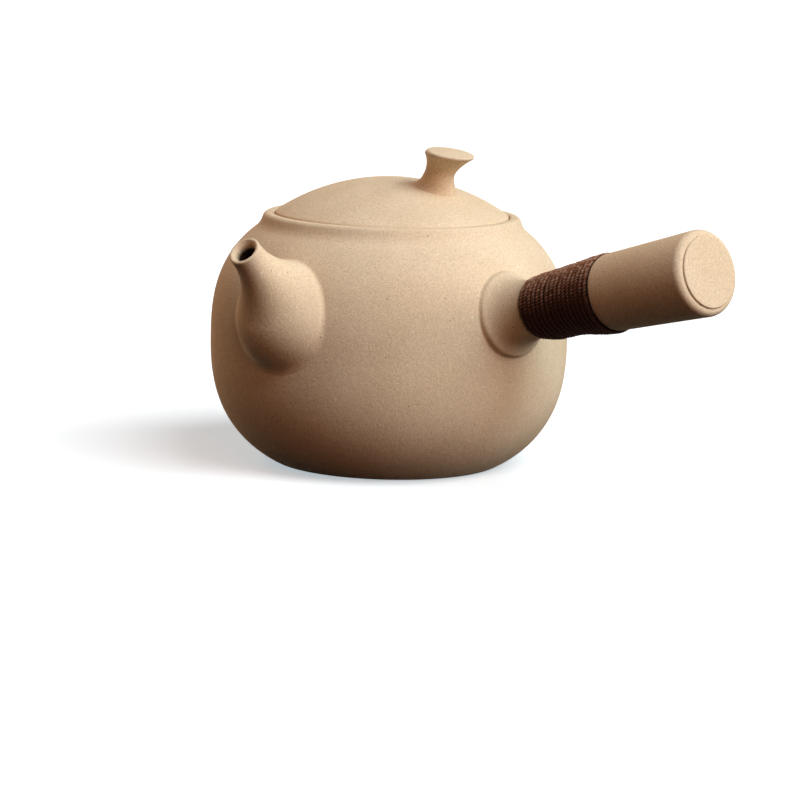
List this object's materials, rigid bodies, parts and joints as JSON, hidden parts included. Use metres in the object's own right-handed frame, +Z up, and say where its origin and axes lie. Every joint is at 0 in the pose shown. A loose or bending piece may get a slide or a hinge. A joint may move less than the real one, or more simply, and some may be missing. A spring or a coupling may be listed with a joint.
{
  "type": "clay tea kettle",
  "caption": "Round side-handled clay tea kettle with a short upturned spout, a lift-off domed lid with a leaning spool knob, and a hollow handle bound with dark cord.",
  "frame": {"origin": "centre of the flat base, on the surface that the kettle stands on", "axes": "+Z up along the pot's axis, +Y along the handle, +X square to both on the spout's side"},
  "size_m": [0.1523, 0.2251, 0.1179],
  "materials": {
    "clay": "unglazed matte, sandy",
    "cord": "waxed twisted cord, dark brown"
  },
  "bodies": {
    "kettle": {"pot_body": "clay", "spout": "clay", "spout_strainer": "clay", "handle_socket": "clay", "handle_grip": "clay", "handle_end_plug": "clay", "cord_binding": "cord"},
    "lid": {"lid_dome": "clay", "lid_tongue": "clay", "lid_knob": "clay"}
  },
  "joints": [
    {"name": "lid_lift", "type": "slide", "parent": "kettle", "child": "lid", "axis": [0, 0, 1], "range_m": [0, 0.1]}
  ]
}
